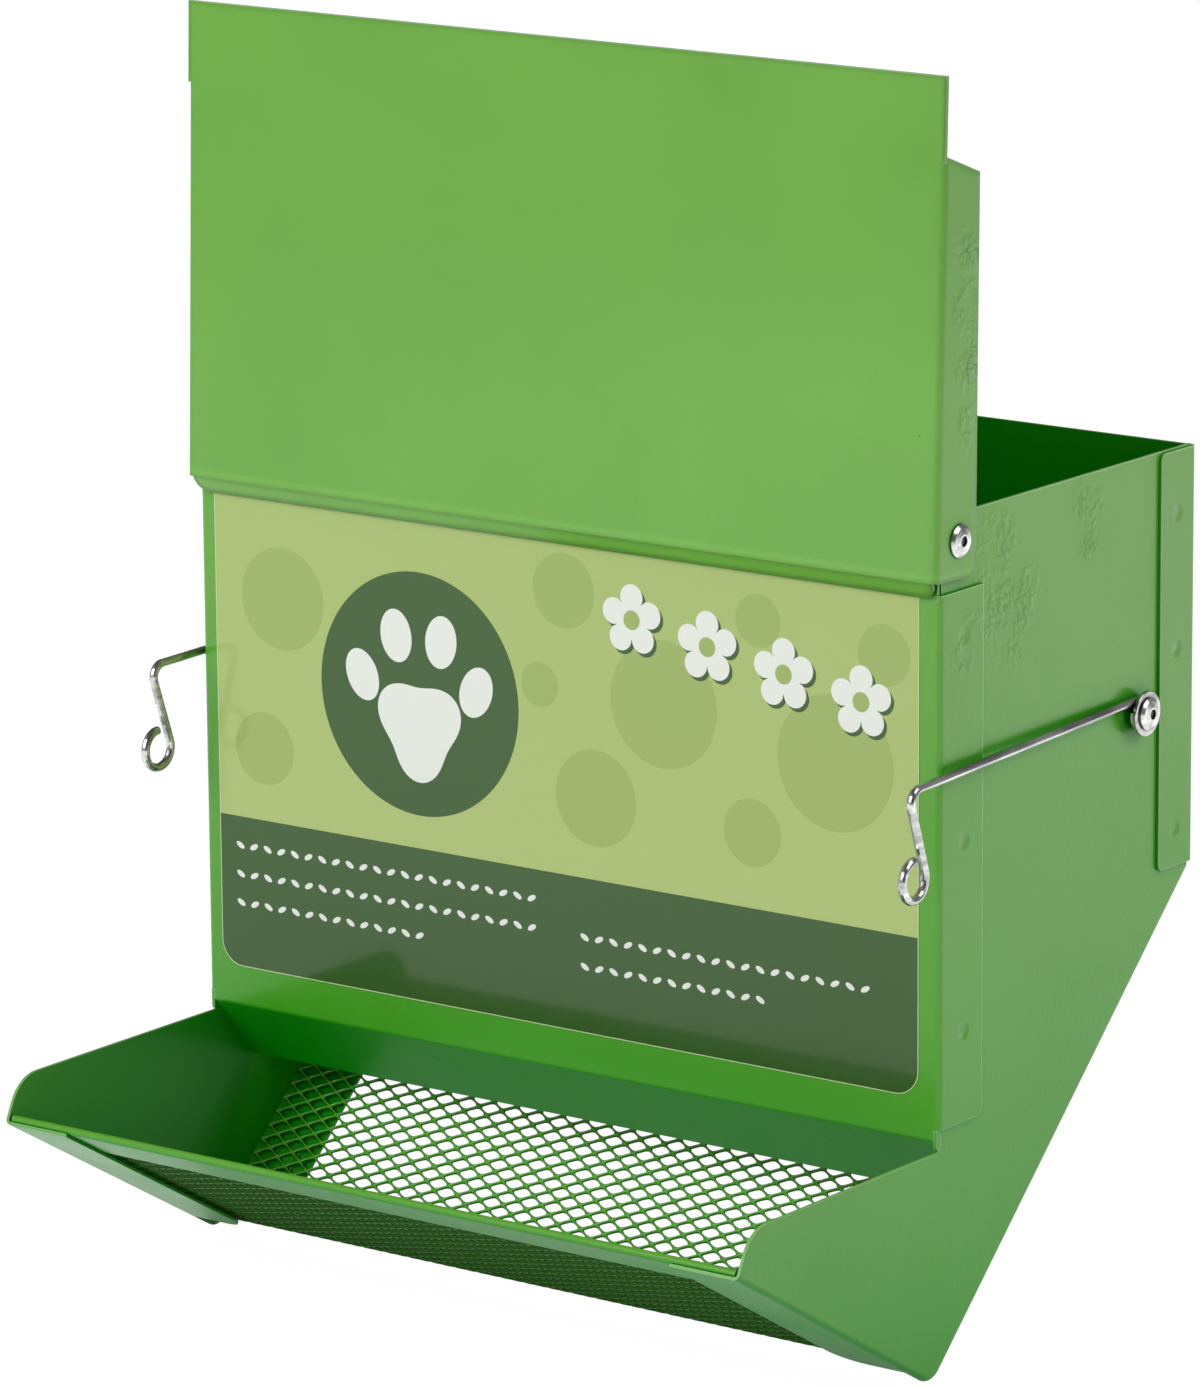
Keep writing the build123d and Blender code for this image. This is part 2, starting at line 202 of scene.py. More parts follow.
def rounded_normal(tree, radius, samples):
    """The normal with edges rounded by a radius in millimetres."""
    return make(tree, "Bevel", {"Radius": radius * MM}, samples=samples).outputs["Normal"]


def open_share(tree, reach):
    """The share of the directions above a surface in which nothing is near, within a reach in metres."""
    return make(tree, "AmbientOcclusion", {"Distance": reach}, samples=OPEN_SHARE_SAMPLES).outputs["AO"]


def shade_of(colour, factors):
    """A colour written in the script, each part times its own factor."""
    return (*(c * f for c, f in zip(colour, factors)), 1)


# Grains: the noise's scale, detail and roughness, its height in metres, and its strength
ORANGE_PEEL = (60.0, 1.0, 0.5, 0.00025, 0.35)
FINE_PEEL = (850.0, 2.0, 0.55, 0.0001, 0.5)
FILM_WAVE = (26.0, 2.0, 0.5, 0.0004, 0.35)
FILM_GRAIN = (240.0, 2.0, 0.5, 0.00004, 0.6)
FLOOR_GRAIN = (300.0, 2.0, 0.5, 0.0002, 0.1)

# Spots of the coat, as a centre and a radius: rough patches as they were sprayed, and dents of the spot welds
ROUGH_PATCHES = (
    ((SIDE_OUTER, 27.0, 141.0), 13.0),
    ((SIDE_OUTER, 33.0, 125.0), 17.0),
    ((FLANGE_OUTER, 12.0, 121.0), 9.0),
    ((SIDE_OUTER, 68.0, 146.0), 9.0),
    ((SIDE_OUTER, 70.0, 135.0), 6.0),
    ((LID_OUTER, 9.5, 178.0), 8.5),
    ((LID_OUTER, 10.0, 192.0), 9.0),
    ((LID_OUTER, 10.0, 207.0), 9.0),
    ((LID_OUTER, 9.5, 222.0), 8.0),
)
REAR_DENT_BACK = 110.0
REAR_DENTS = ((137.8, 2.8), (101.5, 2.8), (53.1, 2.8))  # height and radius
FRONT_DENT_BACK = 11.0
FRONT_DENTS = {1: ((123.6, 3.2), (70.0, 2.8), (20.0, 2.8)), -1: ((123.6, 3.2), (20.0, 2.8))}  # by side
WELD_DENTS = [
    ((side * FLANGE_OUTER, back, up), radius)
    for side in (1, -1)
    for back, dents in ((REAR_DENT_BACK, REAR_DENTS), (FRONT_DENT_BACK, FRONT_DENTS[side]))
    for up, radius in dents
]

# Powder coat, with widths and heights in millimetres and depths in metres
TONE_SCALE = 14.0
TONE_LOW = 0.93
TONE_HIGH = 1.05
GLOSS_SCALE = 35.0
GRIT_SCALE = 480.0
GRIT_RANGE = (0.38, 0.62)
BLOTCH_SCALE = 130.0
BLOTCH_RANGE = (0.4, 0.6)
NO_FOLD = -1000.0
FOLD_BLUR = 0.5
FOLD_PAINTED_LIGHT = 1.15  # painted light: the coat's tone below a fold that faces down, lightened where it would be shaded
PATCH_DEPTH = 0.001
DENT_DEPTH = 0.0008
NIB_SPREAD = 42.0
NIB_CORE = 0.007
NIB_RIM = 0.016
NIBS_KEPT = 0.2
NIB_SHARE = 0.75
NIB_TONE = 0.25
STRAND_START = 0.25  # share of the way from the strand's middle at which its painted shade starts, and is full
STRAND_END = 0.85
STRAND_SHADE_TONE = 0.2
# Painted highlight along the sheets' edges, where the coat is also thinner
EDGE_WIDTH = 0.7
EDGE_START = 0.99  # how far the rounded normal agrees with the plain one where an edge starts, and is full
EDGE_END = 0.88
EDGE_OFF = 3  # height above a fold up to which the painted edge highlight is off, and from which it is full
EDGE_ON = 5
EDGE_HIGHLIGHT_COLOUR = (0.5, 0.78, 0.4, 1)
# Painted shade in hollows of the body and gaps of the mesh: reach in metres, the open share at which the coat
# has its full painted shade and at which it has its own colour, and the shade as shares of the coat's red,
# green and blue
PAINTED_HOLLOW_SHADE = (0.22, 0.25, 1.0, (0.0, 0.8, 0.05))
PAINTED_GAP_SHADE = (0.0022, 0.45, 0.88, (0.02, 0.1, 0.02))
BASE_GLOSS = 0.3
COAT_GLOSS = 0.5
COAT_ROUGHNESS = 0.14
BEVEL_SAMPLES = 6


def add_nibs(tree, place, base, colour):
    """The coat's colour with a few dark specks."""
    nibs = make(tree, "TexVoronoi", {"Vector": place, "Scale": NIB_SPREAD})
    near_nib = spread(tree, nibs.outputs["Distance"], NIB_CORE, NIB_RIM, 1.0, 0.0)
    lot = make(tree, "SeparateColor", {0: nibs.outputs["Color"]}).outputs[0]
    nib = math_node(tree, "MULTIPLY", near_nib, math_node(tree, "GREATER_THAN", lot, 1 - NIBS_KEPT))
    share = math_node(tree, "MULTIPLY", nib, NIB_SHARE)
    return mix_colour(tree, share, base, shade_of(colour, (NIB_TONE,) * 3))


def add_painted_edge_highlights(tree, base, edge_highlight, height, fold):
    """The coat's colour with a painted highlight along the sheets' edges, where the coat is also thinner,
    other than under a fold.
    """
    plain = make(tree, "NewGeometry").outputs["Normal"]
    normals = {0: rounded_normal(tree, EDGE_WIDTH, BEVEL_SAMPLES), 1: plain}
    agreed = make(tree, "VectorMath", normals, operation="DOT_PRODUCT").outputs["Value"]
    edge = spread(tree, agreed, EDGE_START, EDGE_END, 0.0, edge_highlight)
    above = spread(tree, height, (fold + EDGE_OFF) * MM, (fold + EDGE_ON) * MM)
    edge = math_node(tree, "MULTIPLY", edge, above)
    return mix_colour(tree, edge, base, EDGE_HIGHLIGHT_COLOUR)


def add_rough_patches(tree, place, normal):
    """The coat's normal with grit in the rough patches."""
    patch = None
    for centre, radius in ROUGH_PATCHES:
        near = nearness(tree, place, centre, radius)
        patch = near if patch is None else math_node(tree, "MAXIMUM", patch, near)
    grit = spread(tree, noise(tree, place, GRIT_SCALE, 1.5), *GRIT_RANGE)
    blotch = spread(tree, noise(tree, place, BLOTCH_SCALE), *BLOTCH_RANGE)
    rough = math_node(tree, "MULTIPLY", math_node(tree, "MULTIPLY", patch, blotch), grit)
    return bump(tree, rough, PATCH_DEPTH, 1.0, normal)


def add_weld_dents(tree, place, normal):
    """The coat's normal with a shallow dent at each spot weld."""
    for centre, radius in WELD_DENTS:
        near = {"Value": nearness(tree, place, centre, radius)}
        dent = make(tree, "MapRange", near, interpolation_type="SMOOTHSTEP").outputs[0]
        normal = bump(tree, math_node(tree, "MULTIPLY", dent, -1.0), DENT_DEPTH, 1.0, normal)
    return normal


def powder_coat(
    name,
    colour,
    roughness,
    edge_radius,
    edge_highlight=0.85,
    painted_shade=PAINTED_HOLLOW_SHADE,
    sheen=1.0,
    shaded_strands=False,
    fold=NO_FOLD,
):
    """Glossy powder coat: orange peel, faint tone changes, nibs, rough patches and weld dents; painted shade
    in hollows and on the strands' sides, painted highlights on edges, and painted light below a fold.
    """
    material, tree, place = new_material(name)
    height = make(tree, "SeparateXYZ", {0: place}).outputs["Z"]
    past_fold = spread(tree, height, (fold + FOLD_BLUR) * MM, (fold - FOLD_BLUR) * MM)
    tone = varied(tree, place, TONE_SCALE, 3.0, TONE_LOW, TONE_HIGH)
    # Painted light: the coat is lightened below the fold, where it faces down
    tone = math_node(tree, "MULTIPLY", tone, spread(tree, past_fold, 0.0, 1.0, 1.0, FOLD_PAINTED_LIGHT))
    base = add_nibs(tree, place, scaled_colour(tree, colour[:3], tone), colour)
    if shaded_strands:
        # Painted shade on the strands' sides, their middles left light
        off_middle = make(tree, "Attribute", attribute_name="strand").outputs["Fac"]
        side = spread(tree, off_middle, STRAND_START, STRAND_END)
        base = mix_colour(tree, side, base, shade_of(colour, (STRAND_SHADE_TONE,) * 3))
    else:
        # Painted highlight along the edges
        base = add_painted_edge_highlights(tree, base, edge_highlight, height, fold)
    reach, closed, clear, shade_tint = painted_shade
    # Painted shade: the colour darkens to the shade tint where little is open around it, but not below the
    # fold
    lit = math_node(tree, "MAXIMUM", spread(tree, open_share(tree, reach), closed, clear), past_fold)
    base = mix_colour(tree, lit, shade_of(colour, shade_tint), base)
    normal = grain(tree, place, ORANGE_PEEL, rounded_normal(tree, edge_radius, BEVEL_SAMPLES))
    if not shaded_strands:
        normal = add_weld_dents(tree, place, add_rough_patches(tree, place, normal))
    normal = grain(tree, place, FINE_PEEL, normal)
    gloss = varied(tree, place, GLOSS_SCALE, 3.0, roughness - 0.03, roughness + 0.05)
    shader = make(tree, "BsdfPrincipled", {"Base Color": base, "Roughness": gloss, "Normal": normal})
    shader.inputs["Specular IOR Level"].default_value = BASE_GLOSS * sheen
    # Painted shade on the gloss: the coat weakens where the colour is shaded
    tree.links.new(math_node(tree, "MULTIPLY", lit, COAT_GLOSS * sheen), shader.inputs["Coat Weight"])
    shader.inputs["Coat Roughness"].default_value = COAT_ROUGHNESS
    return end_material(material, shader)


# Bare metal, with the bevel in millimetres and depths in metres
LINE_SCALE = 1500.0
STREAK_SCALE = 420.0
STREAK_RANGE = (0.35, 0.65)
STREAK_TONES = (0.5, 1.1)
METAL_BLOTCH_SCALE = 260.0
METAL_BEVEL = 0.15
METAL_BEVEL_SAMPLES = 4
METAL_HOLLOW = 0.002  # reach in metres of the painted shade in hollows
METAL_HOLLOW_RANGE = (0.4, 0.95)
METAL_PAINTED_SHADE_TONES = (0.12, 1.0)
LINE_DEPTH = 0.00003
BLOTCH_DEPTH = 0.00008


def bare_metal(name, colour, roughness, scratch, stretch=(1, 1, 1)):
    """Bright metal with drawing lines along one direction, streaks, faint blotches and painted shade in its
    hollows.
    """
    material, tree, place = new_material(name)
    along = make(tree, "VectorMath", {0: place, 1: stretch}, operation="MULTIPLY").outputs[0]
    lines = noise(tree, along, LINE_SCALE, 3.0, 0.6)
    blotch = noise(tree, place, METAL_BLOTCH_SCALE)
    tone = spread(tree, noise(tree, along, STREAK_SCALE, 3.0, 0.6), *STREAK_RANGE, *STREAK_TONES)
    # Painted shade: the metal darkens where little is open around it
    shade = spread(tree, open_share(tree, METAL_HOLLOW), *METAL_HOLLOW_RANGE, *METAL_PAINTED_SHADE_TONES)
    base = scaled_colour(tree, scaled_colour(tree, colour[:3], tone), shade)
    normal = bump(tree, lines, LINE_DEPTH, scratch, rounded_normal(tree, METAL_BEVEL, METAL_BEVEL_SAMPLES))
    normal = bump(tree, blotch, BLOTCH_DEPTH, scratch, normal)
    gloss = spread(tree, lines, NOISE_LOW, NOISE_HIGH, roughness * 0.8, roughness * 1.3)
    inputs = {"Base Color": base, "Roughness": gloss, "Normal": normal, "Metallic": 1.0}
    shader = make(tree, "BsdfPrincipled", inputs)
    return end_material(material, shader)


# Printed film
FILM_ROUGHNESS_SCALE = 18.0
FILM_ROUGHNESS_LOW = 0.1
FILM_ROUGHNESS_HIGH = 0.16
FILM_GLOSS = 0.2
FILM_COAT = 0.25
FILM_COAT_ROUGHNESS = 0.04


def printed_film(name, colour, low_colour=None):
    """Glossy printed film with a faint wave, and a tone that may change with height."""
    material, tree, place = new_material(name)
    height = make(tree, "SeparateXYZ", {0: place}).outputs["Z"]
    rise = spread(tree, height, LABEL_FOOT * MM, LABEL_TOP * MM)
    base = mix_colour(tree, rise, low_colour or colour, colour)
    normal = grain(tree, place, FILM_GRAIN, grain(tree, place, FILM_WAVE))
    gloss = varied(tree, place, FILM_ROUGHNESS_SCALE, 2.0, FILM_ROUGHNESS_LOW, FILM_ROUGHNESS_HIGH)
    shader = make(tree, "BsdfPrincipled", {"Base Color": base, "Roughness": gloss, "Normal": normal})
    shader.inputs["Specular IOR Level"].default_value = FILM_GLOSS
    shader.inputs["Coat Weight"].default_value = FILM_COAT
    shader.inputs["Coat Roughness"].default_value = FILM_COAT_ROUGHNESS
    return end_material(material, shader)


def dress(material, *names):
    """Gives CAD nodes a material."""
    for name in names:
        mesh = nodes[name].data
        mesh.materials.clear()
        mesh.materials.append(material)


GREEN = (0.114, 0.37, 0.022, 1)
# Painted sheen: the body's paint made a little lighter and bluer on the lid, for the gloss it shows there
LID_GREEN_PAINTED_SHEEN = (0.13, 0.385, 0.034, 1)
# Painted light: the body's paint made brighter and greener on the mesh, for how its strands are lit and
# mirror the floor
MESH_GREEN_PAINTED_LIGHT = (0.095, 0.46, 0.03, 1)
body_paint = powder_coat("body_paint", GREEN, 0.32, 0.4)
lid_paint = powder_coat("lid_paint", LID_GREEN_PAINTED_SHEEN, 0.36, 3.0, fold=LID_FOLD)
mesh_paint = powder_coat("mesh_paint", MESH_GREEN_PAINTED_LIGHT, 0.2, 0.1, painted_shade=PAINTED_GAP_SHADE, sheen=0.35, shaded_strands=True)
zinc = bare_metal("zinc_wire", (0.6, 0.6, 0.6, 1), 0.16, 0.5, (1.0, 0.12, 1.0))
aluminium = bare_metal("rivet_aluminium", (0.7, 0.7, 0.69, 1), 0.2, 0.5)
stub_steel = bare_metal("mandrel_steel", (0.2, 0.2, 0.21, 1), 0.35, 1.0)
label_edge = printed_film("label_edge", srgb(206, 222, 172))
label_light = printed_film("label_light", srgb(170, 192, 112), srgb(184, 203, 126))
label_tone = printed_film("label_tone", srgb(158, 182, 100), srgb(168, 188, 108))
label_dark = printed_film("label_dark", srgb(58, 94, 42))
label_white = printed_film("label_white", srgb(236, 240, 232))

dress(body_paint, "front_panel", "rear_panel", "left_side_panel", "right_side_panel", "trough_lip")
dress(lid_paint, "lid")
dress(mesh_paint, "sifter_mesh_front", "sifter_mesh_bend", "sifter_mesh_rear")
dress(label_edge, "label")
dress(zinc, "hook_left", "hook_right", "hook_washer_left", "hook_washer_right")
dress(aluminium, "lid_rivet_left", "lid_rivet_right", "hook_rivet_left", "hook_rivet_right")
dress(stub_steel, *[name for name in nodes if "mandrel" in name])


def new_object(name, data):
    """An object of the scene with its data."""
    found = bpy.data.objects.new(name, data)
    bpy.context.scene.collection.objects.link(found)
    return found


def mesh_object(name, vertices, faces, material):
    """A mesh object in metres from millimetres, with one material."""
    mesh = bpy.data.meshes.new(name)
    mesh.from_pydata([tuple(c * MM for c in v) for v in vertices], [], faces)
    mesh.update()
    mesh.materials.append(material)
    return new_object(name, mesh)


# Sifter mesh: expanded metal, made flat and then bent along its path
# A strand's section: share of the way from its middle to the opening, and share of its half thickness
STRAND_PROFILE = ((0.0, 1.0), (0.6, 0.86), (1.0, 0.0), (0.6, -0.86), (0.0, -1.0))
SHARP_ANGLE = radians(62)


def diamond_rim_points():
    """Points round a diamond cell on its edges, in steps of an eighth of its length and height."""
    corners = ((EDGE_STEPS, 0), (0, EDGE_STEPS), (-EDGE_STEPS, 0), (0, -EDGE_STEPS))
    points = []
    for start, end in zip(corners, corners[1:] + corners[:1]):
        for step in range(EDGE_STEPS):
            across = start[0] + (end[0] - start[0]) * step // EDGE_STEPS
            along = start[1] + (end[1] - start[1]) * step // EDGE_STEPS
            points.append((across, along))
    return points


def flat_mesh_sheet(first_row, last_row, half_columns):
    """The sheet before it is bent: its faces, and vertices with their place across, along and
    above it and their share of the way from the strand's middle to the opening."""
    rim = np.array(diamond_rim_points())
    step = np.array([DIAMOND_LENGTH, DIAMOND_HEIGHT]) / (2 * EDGE_STEPS)
    rim_mm = rim * step
    reach = (
        np.abs(rim_mm[:, 0] / (OPENING_LENGTH / 2)) ** OPENING_POWER
        + np.abs(rim_mm[:, 1] / (OPENING_HEIGHT / 2)) ** OPENING_POWER
    ) ** (-1 / OPENING_POWER)
    opening_mm = rim_mm * reach[:, None]
    tilt = np.clip(rim_mm[:, 1] / (DIAMOND_HEIGHT / 4), -1, 1)
    count = len(rim)
    points, keys, faces = [], [], []
    for row in range(first_row, last_row + 1):
        shift = (row % 2) * EDGE_STEPS
        for column in range(-half_columns, half_columns + 1):
            centre = np.array([2 * EDGE_STEPS * column + shift, EDGE_STEPS * row])
            base = len(points)
            for share, level in STRAND_PROFILE:
                for k in range(count):
                    flat = rim_mm[k] + (opening_mm[k] - rim_mm[k]) * share + centre * step
                    height = level * STRAND_HALF_THICKNESS - STRAND_TILT * share * tilt[k]
                    points.append((flat[0], flat[1], height, share))
                    key = (*(centre + rim[k]), level) if share == 0 else (base, len(points), 0)
                    keys.append(key)
            for ring in range(len(STRAND_PROFILE) - 1):
                for k in range(count):
                    a = base + ring * count + k
                    b = base + ring * count + (k + 1) % count
                    faces.append((a, b, b + count, a + count))
    _, first, shared = np.unique(np.array(keys, float), axis=0, return_index=True, return_inverse=True)
    shared = shared.reshape(-1)
    points = np.array(points)[first]
    faces = [tuple(int(shared[i]) for i in face) for face in faces]
    return points, faces


def bent(along, height):
    """Back and up of a point of the sifter mesh, from its travel along the sheet and its height above it."""
    slopes = {
        1: ((cos(REAR_SLOPE), sin(REAR_SLOPE)), (-sin(REAR_SLOPE), cos(REAR_SLOPE))),
        -1: ((-cos(FRONT_SLOPE), sin(FRONT_SLOPE)), (sin(FRONT_SLOPE), cos(FRONT_SLOPE))),
    }
    up, inward = (np.array(v) for v in slopes[1])
    middle = np.array(HEEL) + up * FLAT_START + inward * (MESH_LEVEL + MESH_BEND)
    lean = along / MIDDLE_RADIUS + (REAR_SLOPE - FRONT_SLOPE) / 2
    outward = np.stack([np.sin(lean), -np.cos(lean)], axis=1)
    place = middle + outward * (MIDDLE_RADIUS - height)[:, None]
    for side in (1, -1):
        up, inward = (np.array(v) for v in slopes[side])
        past = side * along > BEND_REACH
        run = FLAT_START + side * along[past] - BEND_REACH
        level = MESH_LEVEL + MESH_SHEET / 2 + height[past]
        place[past] = np.array(HEEL) + run[:, None] * up + level[:, None] * inward
    return place


def make_sifter_mesh():
    """The expanded sheet at its real pitch, cut to size, bent and given its coat."""
    rear_end = MESH_REAR_RUN - FLAT_START + BEND_REACH
    front_end = MESH_FRONT_RUN - FLAT_START + BEND_REACH
    row_step = DIAMOND_HEIGHT / 2
    first_row = -int(front_end / row_step) - 2
    last_row = int(rear_end / row_step) + 2
    points, faces = flat_mesh_sheet(first_row, last_row, int(MESH_HALF_WIDTH / DIAMOND_LENGTH) + 1)
    flat = bmesh.new()
    strand = flat.verts.layers.float.new("strand")
    for point in points:
        flat.verts.new(point[:3])[strand] = point[3]
    flat.verts.ensure_lookup_table()
    for face in faces:
        flat.faces.new([flat.verts[i] for i in face])
    cuts = (
        ((MESH_HALF_WIDTH, 0, 0), (1, 0, 0)),
        ((-MESH_HALF_WIDTH, 0, 0), (-1, 0, 0)),
        ((0, rear_end, 0), (0, 1, 0)),
        ((0, -front_end, 0), (0, -1, 0)),
    )
    for where, outward in cuts:
        everything = flat.verts[:] + flat.edges[:] + flat.faces[:]
        bmesh.ops.bisect_plane(flat, geom=everything, plane_co=where, plane_no=outward, clear_outer=True)
        open_edges = [edge for edge in flat.edges if edge.is_boundary]
        bmesh.ops.holes_fill(flat, edges=open_edges, sides=0)
    bmesh.ops.recalc_face_normals(flat, faces=flat.faces[:])
    found = np.array([v.co for v in flat.verts])
    place = bent(found[:, 1], found[:, 2])
    for vertex, across, (back, up) in zip(flat.verts, found[:, 0], place):
        vertex.co = (across * MM, back * MM, up * MM)
    mesh = bpy.data.meshes.new("expanded_mesh")
    flat.to_mesh(mesh)
    flat.free()
    mesh.shade_smooth()
    mesh.set_sharp_from_angle(angle=SHARP_ANGLE)
    mesh.materials.append(mesh_paint)
    piece = new_object("expanded_mesh", mesh)
    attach(piece, "body")
    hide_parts("sifter_mesh_front", "sifter_mesh_bend", "sifter_mesh_rear")


make_sifter_mesh()


# Corner welds: faces across, and their outline back and up
WELD_ACROSS = (118.3, 119.3)
WELD_OUTLINE = ((0.02, -4.0), (0.02, -8.6), (0.5, -9.5), (1.3, -9.0), (1.75, -8.0), (1.75, -4.0))


def make_corner_weld(name, side):
    """Weld that closes the relief between a flange's foot and the side panel."""
    count = len(WELD_OUTLINE)
    vertices = [(side * x, y, z) for x in WELD_ACROSS for y, z in WELD_OUTLINE]
    faces = [tuple(range(count)), tuple(range(2 * count - 1, count - 1, -1))]
    faces += [(k, k + count, (k + 1) % count + count, (k + 1) % count) for k in range(count)]
    if side > 0:
        faces = [face[::-1] for face in faces]
    piece = mesh_object(name, vertices, faces, body_paint)
    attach(piece, "body")


make_corner_weld("corner_weld_right", 1)
make_corner_weld("corner_weld_left", -1)


# Label print: layers of ink on the film, a generic design of pellets, flowers, seeds and a paw
PETALS = 5
PETAL_NOTCH = 0.52  # share of the radius between petals
PETAL_ROUNDNESS = 0.55
PAD_WAVE = 0.14  # the pad's sides draw in by twice this share of its radius


def polar(centre, radius, count=72, turn=0.0, stretch=1.0):
    """An outline round a centre, its radius given by a function of the angle."""
    points = []
    for k in range(count):
        angle = 2 * pi * k / count
        across = radius(angle) * cos(angle) * stretch
        up = radius(angle) * sin(angle)
        x = centre[0] + across * cos(turn) - up * sin(turn)
        z = centre[1] + across * sin(turn) + up * cos(turn)
        points.append((x, z))
    return points


def disc(centre, radius, count=72, turn=0.0, stretch=1.0):
    """A round or an oval outline."""
    return polar(centre, lambda angle: radius, count, turn, stretch)


def flower(centre, radius):
    """An outline with round petals."""

    def reach(angle):
        petal = abs(cos(PETALS / 2 * angle - pi / 4)) ** PETAL_ROUNDNESS
        return radius * (PETAL_NOTCH + (1 - PETAL_NOTCH) * petal)

    return polar(centre, reach, 160)


def pad(centre, radius):
    """A soft three-cornered outline."""

    def reach(angle):
        return radius * (1 - PAD_WAVE + PAD_WAVE * cos(3 * angle - pi / 2))

    return polar(centre, reach, 90)


def print_layer(name, outlines, layer, material):
    """Flat ink shapes on the label, a number of ink layers in front of it."""
    front = LABEL_FRONT - layer * INK
    vertices, faces = [], []
    for outline in outlines:
        start, count = len(vertices), len(outline)
        vertices += [(x, front, z) for x, z in outline] + [(x, LABEL_FRONT, z) for x, z in outline]
        faces.append(tuple(range(start, start + count)))
        for k in range(count):
            after = (k + 1) % count
            faces.append((start + k, start + count + k, start + count + after, start + after))
    piece = mesh_object(name, vertices, faces, material)
    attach(piece, "body")


def corner_arc(centre, radius, start, steps=10):
    """Points of a quarter circle."""
    angles = [start + pi / 2 * k / steps for k in range(steps + 1)]
    return [(centre[0] + radius * cos(angle), centre[1] + radius * sin(angle)) for angle in angles]


left, right = LABEL_LEFT + LABEL_MARGIN, LABEL_RIGHT - LABEL_MARGIN
foot = LABEL_FOOT + LABEL_MARGIN
inner_corner = LABEL_CORNER - LABEL_MARGIN
band = (
    [(left, BAND_TOP)]
    + corner_arc((left + inner_corner, foot + inner_corner), inner_corner, pi)
    + corner_arc((right - inner_corner, foot + inner_corner), inner_corner, 1.5 * pi)
    + [(right, BAND_TOP)]
)
field = [(left, BAND_TOP), (right, BAND_TOP), (right, LABEL_TOP), (left, LABEL_TOP)]
print_layer("print_field", [field], 1, label_light)
print_layer("print_band", [band], 1, label_dark)

PELLETS = (  # across, up and radius
    (-99, 66, 10),
    (-92, 108, 14),
    (12, 68, 13),
    (34, 96, 17),
    (62, 66, 9),
    (88, 88, 18),
    (103, 118, 8),
    (2, 122, 10),
    (64, 122, 7),
    (-6, 96, 6),
)
MEDALLION = (-46.0, 88.0)
MEDALLION_RADIUS = 33.0
PAD_DROP = 9.0
PAD_RADIUS = 15.0
TOES = (  # across, up and turn
    (-19.0, 3.0, 0.42),
    (-7.5, 15.0, 0.14),
    (7.5, 15.0, -0.14),
    (19.0, 3.0, -0.42),
)
TOE_RADIUS = 7.2
TOE_STRETCH = 0.72
FLOWERS = ((24.0, 117.0), (48.0, 113.0), (72.0, 109.0), (96.0, 105.0))
FLOWER_RADIUS = 9.5
FLOWER_SHADOW = 0.9
HEART_RADIUS = 2.6
SEED_ROWS = (  # from, to and height
    (-108, 0, 38),
    (-108, 0, 30),
    (-108, -40, 22),
    (8, 106, 30),
    (8, 70, 22),
)
SEED_STEP = 4.7
SEED_RADIUS = 0.75
SEED_STRETCH = 2.0
SEED_TURN = 0.5

print_layer("print_pellets", [disc((x, z), r) for x, z, r in PELLETS], 2, label_tone)
print_layer("print_medallion", [disc(MEDALLION, MEDALLION_RADIUS, 144)], 2, label_dark)
paw = [pad((MEDALLION[0], MEDALLION[1] - PAD_DROP), PAD_RADIUS)]
for across, up, turn in TOES:
    paw.append(disc((MEDALLION[0] + across, MEDALLION[1] + up), TOE_RADIUS, 60, turn, TOE_STRETCH))
print_layer("print_paw", paw, 3, label_white)
shadows = [(x + FLOWER_SHADOW, z - FLOWER_SHADOW) for x, z in FLOWERS]
print_layer("print_flower_shadows", [flower(spot, FLOWER_RADIUS) for spot in shadows], 3, label_dark)
print_layer("print_flowers", [flower(spot, FLOWER_RADIUS) for spot in FLOWERS], 4, label_white)
print_layer("print_flower_hearts", [disc(spot, HEART_RADIUS, 40) for spot in FLOWERS], 5, label_tone)
seeds = []
for start, end, height in SEED_ROWS:
    for k in range(int((end - start) / SEED_STEP)):
        turn = SEED_TURN if k % 2 else -SEED_TURN
        seeds.append(disc((start + SEED_STEP * k, height), SEED_RADIUS, 20, turn, SEED_STRETCH))
print_layer("print_seeds", seeds, 2, label_white)


# Stage: floor, world, lamps and camera, in metres and watts
FLOOR_SIZE = 14.0
FLOOR_GAP = 0.0004
FLOOR_GLOW = 1.13
FLOOR_SHOWN = 0.86  # share of glow where the camera sees the floor
FLOOR_COLOUR = 0.5  # as it lights the object
FLOOR_IN_GLOSS = 1.4  # as gloss mirrors it
AMBIENT = 0.42
ROOM_LOW = 0.12  # brightness of the room in gloss, to its sides
ROOM_FRONT = 0.62  # before the object
ROOM_BACK = 0.28  # behind it
ROOM_EDGE = 0.3  # how far off the sides those begin
LAMPS = (  # name, place, target, size, power, and whether gloss mirrors it
    ("front_softbox", (-0.5, -1.8, 1.1), (0, 0, 0.05), 1.3, 28, True),
    ("side_softbox", (1.5, 0.5, 1.1), (0.1, 0.05, 0.12), 1.1, 11, True),
    ("rear_softbox", (-0.5, 2.0, 1.3), (0, 0.1, 0.05), 1.2, 22, False),
)
CLIP_END = 100


def backdrop_shares(tree):
    """1 for rays that show the background directly or through an opening, and 1 for those that mirror it."""
    path = make(tree, "LightPath")
    direct = math_node(tree, "MAXIMUM", path.outputs["Is Camera Ray"], path.outputs["Is Transmission Ray"])
    return direct, path.outputs["Is Glossy Ray"]


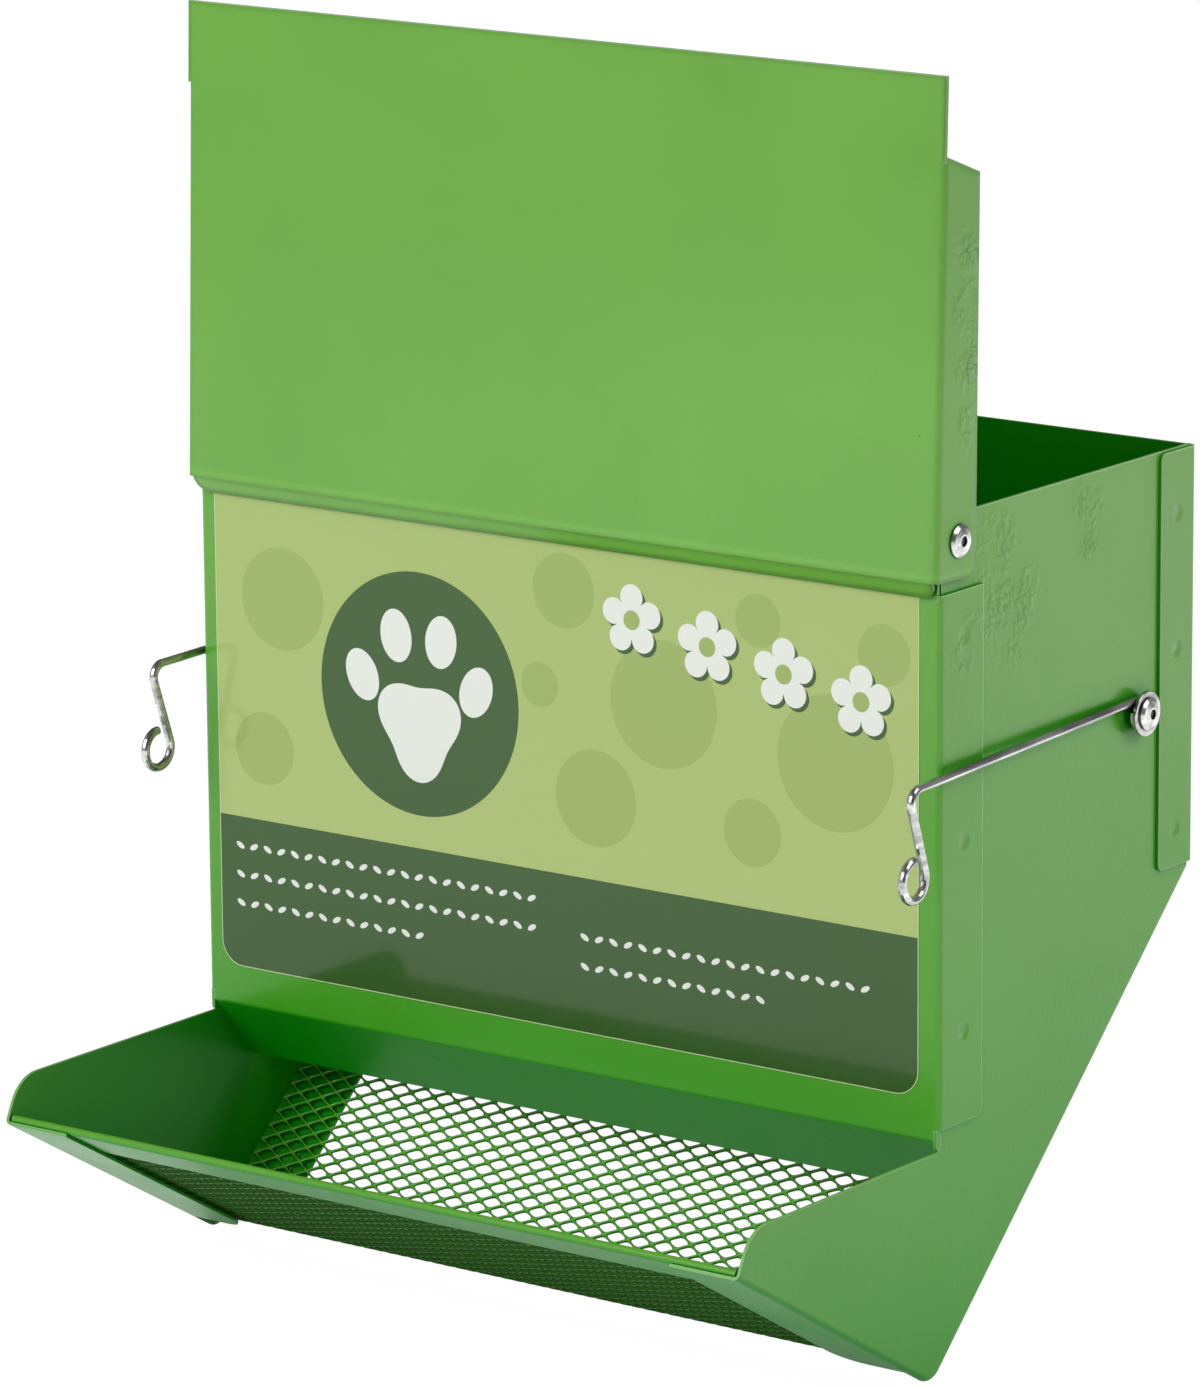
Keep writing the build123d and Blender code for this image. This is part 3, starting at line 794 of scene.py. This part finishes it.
def make_floor():
    """A floor that is grey as it lights the object, bright in gloss, white with the object's shadow to
    the camera, and clear from below."""
    material, tree, place = new_material("floor")
    direct, mirrored = backdrop_shares(tree)
    tone = math_node(tree, "MULTIPLY_ADD", mirrored, FLOOR_IN_GLOSS - FLOOR_COLOUR, FLOOR_COLOUR)
    shade = make(tree, "BsdfDiffuse", {"Color": tone, "Normal": grain(tree, place, FLOOR_GRAIN)})
    glow = make(tree, "Emission", {"Color": (1, 1, 1, 1), "Strength": FLOOR_GLOW})
    share = math_node(tree, "MULTIPLY", direct, FLOOR_SHOWN)
    mixed = make(tree, "MixShader", {0: share, 1: shade.outputs[0], 2: glow.outputs[0]})
    below = make(tree, "NewGeometry").outputs["Backfacing"]
    clear = make(tree, "BsdfTransparent")
    mixed = make(tree, "MixShader", {0: below, 1: mixed.outputs[0], 2: clear.outputs[0]})
    end_material(material, mixed)
    half = FLOOR_SIZE / 2 / MM
    level = cad_box[0][2] / MM - FLOOR_GAP / MM
    corners = [(-half, -half, level), (half, -half, level), (half, half, level), (-half, half, level)]
    mesh_object("floor", corners, [(0, 1, 2, 3)], material)


def make_world():
    """Even light, a white background, and in gloss a room that is brighter before and behind the object."""
    world = bpy.data.worlds.new("studio")
    bpy.context.scene.world = world
    world.use_nodes = True
    tree = world.node_tree
    tree.nodes.clear()
    direct, mirrored = backdrop_shares(tree)
    along = {0: make(tree, "TexCoord").outputs["Generated"], 1: (sin(YAW), cos(YAW), 0)}
    facing = make(tree, "VectorMath", along, operation="DOT_PRODUCT").outputs["Value"]
    front = spread(tree, facing, -ROOM_EDGE, -1.0, ROOM_LOW, ROOM_FRONT)
    back = spread(tree, facing, ROOM_EDGE, 1.0, ROOM_LOW, ROOM_BACK)
    room = math_node(tree, "MAXIMUM", front, back)
    strength = make(tree, "Mix", {"Factor": mirrored, "A": AMBIENT, "B": room}).outputs["Result"]
    strength = make(tree, "Mix", {"Factor": direct, "A": strength, "B": 1.0}).outputs["Result"]
    light = make(tree, "Background", {"Color": (1, 1, 1, 1), "Strength": strength})
    make(tree, "OutputWorld", {"Surface": light.outputs[0]})


def make_lamp(name, place, target, size, power, in_gloss):
    """A square soft lamp that looks at a target."""
    data = bpy.data.lights.new(name, "AREA")
    data.shape = "SQUARE"
    data.size = size
    data.energy = power
    lamp = new_object(name, data)
    lamp.location = place
    lamp.visible_glossy = in_gloss
    lamp.rotation_euler = (Vector(target) - Vector(place)).to_track_quat("-Z", "Y").to_euler()


def make_camera():
    """The camera, as it was solved from the photograph."""
    forward = Vector((-sin(YAW) * cos(PITCH), cos(YAW) * cos(PITCH), -sin(PITCH)))
    level = Vector((cos(YAW), sin(YAW), 0))
    upright = level.cross(forward)
    right_way = cos(ROLL) * level + sin(ROLL) * upright
    up_way = cos(ROLL) * upright - sin(ROLL) * level
    turn = Matrix((right_way, up_way, -forward)).transposed().to_4x4()
    data = bpy.data.cameras.new("camera")
    data.sensor_fit = "HORIZONTAL"
    data.sensor_width = SENSOR_WIDTH
    data.lens = FOCAL_PIXELS * SENSOR_WIDTH / PHOTO_WIDTH
    data.clip_end = CLIP_END
    camera = new_object("camera", data)
    camera.matrix_world = Matrix.Translation(EYE) @ turn
    bpy.context.scene.camera = camera


make_floor()
make_world()
for lamp in LAMPS:
    make_lamp(*lamp)
make_camera()
bpy.context.scene.view_settings.view_transform = "Standard"
